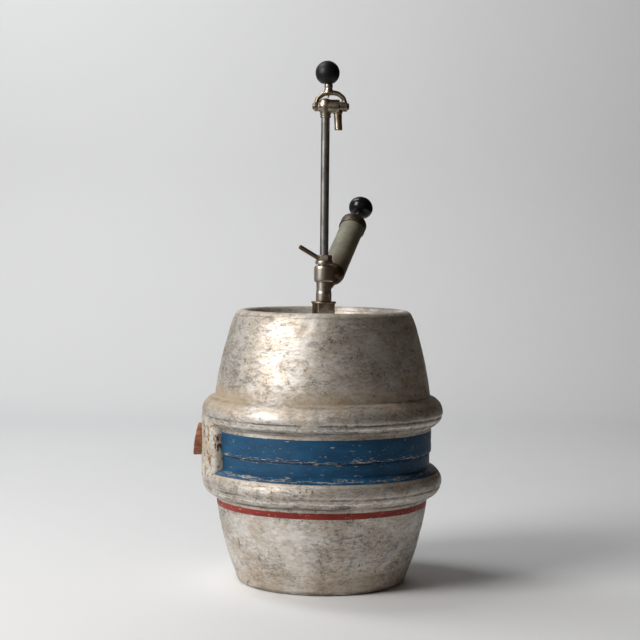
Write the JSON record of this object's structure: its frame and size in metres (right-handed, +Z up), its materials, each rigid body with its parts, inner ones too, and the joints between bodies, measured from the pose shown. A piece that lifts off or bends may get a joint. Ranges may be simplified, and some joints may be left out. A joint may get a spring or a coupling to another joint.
{
  "type": "beer keg",
  "caption": "Two-ring aluminium beer keg with a side bung and a hand-pump tap: sliding beer rod, side-spout faucet with ball handle, and a leaning air pump.",
  "frame": {"origin": "middle of the whole object's box, on the surface that the keg stands on; the keg's axis stands 6.3 mm to its +X side", "axes": "+Z up along the keg's axis, -Y towards the front, -X towards the bung"},
  "size_m": [0.4008, 0.3906, 0.8309],
  "materials": {
    "shell_aluminium": "bare worn aluminium with fine scratches, tan stains, a scratched blue band and a red stripe",
    "boss_aluminium": "cream, pitted cast aluminium",
    "black_rubber": "dull black rubber",
    "bung_wood": "dry red-brown sawn wood",
    "nickel_plate": "worn nickel plate on brass, warm and slightly yellow",
    "dark_brass": "dark tarnished brass",
    "rod_steel": "dark dull steel",
    "grey_green_paint": "faded grey-green paint, brown at the lower end",
    "black_knob": "smooth black moulded knob",
    "cup_leather": "oiled brown leather"
  },
  "bodies": {
    "keg": {"shell_lower": "shell_aluminium", "shell_upper": "shell_aluminium", "seam_weld": "shell_aluminium", "bung_boss": "boss_aluminium", "neck_bushing": "boss_aluminium", "neck_gasket": "black_rubber"},
    "bung": {"wooden_bung": "bung_wood"},
    "tap": {"tap_base": "nickel_plate", "tap_body": "nickel_plate", "union_sleeve": "nickel_plate", "rod_packing": "black_rubber", "gland_washer": "dark_brass", "pump_base": "dark_brass", "pump_tube": "grey_green_paint", "pump_cap": "dark_brass"},
    "gland": {"gland_nut": "nickel_plate", "gland_lever": "nickel_plate"},
    "rod": {"beer_rod": "rod_steel", "rod_foot": "dark_brass", "rod_collar": "nickel_plate"},
    "faucet": {"faucet_body": "nickel_plate", "spout": "nickel_plate"},
    "handle": {"valve_plug": "dark_brass", "yoke": "nickel_plate", "yoke_screw_left": "dark_brass", "yoke_screw_right": "dark_brass", "ball_knob": "black_knob"},
    "plunger": {"plunger_rod": "rod_steel", "pump_knob": "black_knob", "cup_leather": "cup_leather", "piston_plate": "dark_brass", "piston_nut": "dark_brass"},
    "check_valve": {"valve_disc": "black_rubber"}
  },
  "joints": [
    {"name": "bung_pull", "type": "slide", "parent": "keg", "child": "bung", "axis": [-1, 0, 0], "range_m": [0, 0.06]},
    {"name": "tap_turn", "type": "hinge", "parent": "keg", "child": "tap", "pos_m": [0.0063, 0, 0.43], "axis": [0, 0, 1], "range_deg": [-60, 0]},
    {"name": "gland_turn", "type": "hinge", "parent": "tap", "child": "gland", "pos_m": [0.0063, 0, 0.51], "axis": [0, 0, 1], "range_deg": [-60, 60]},
    {"name": "rod_slide", "type": "slide", "parent": "tap", "child": "rod", "axis": [0, 0, 1], "range_m": [0, 0.3]},
    {"name": "faucet_swivel", "type": "hinge", "parent": "rod", "child": "faucet", "pos_m": [0.0063, 0, 0.75], "axis": [0, 0, 1], "range_deg": [-180, 180]},
    {"name": "handle_tilt", "type": "hinge", "parent": "faucet", "child": "handle", "pos_m": [0.0123, 0, 0.7586], "axis": [1, 0, 0], "range_deg": [-75, 75]},
    {"name": "plunger_slide", "type": "slide", "parent": "tap", "child": "plunger", "axis": [0.27, 0.745, 0.61], "range_m": [0, 0.098]},
    {"name": "valve_lift", "type": "slide", "parent": "tap", "child": "check_valve", "axis": [0.27, 0.745, 0.61], "range_m": [0, 0.0033]}
  ]
}
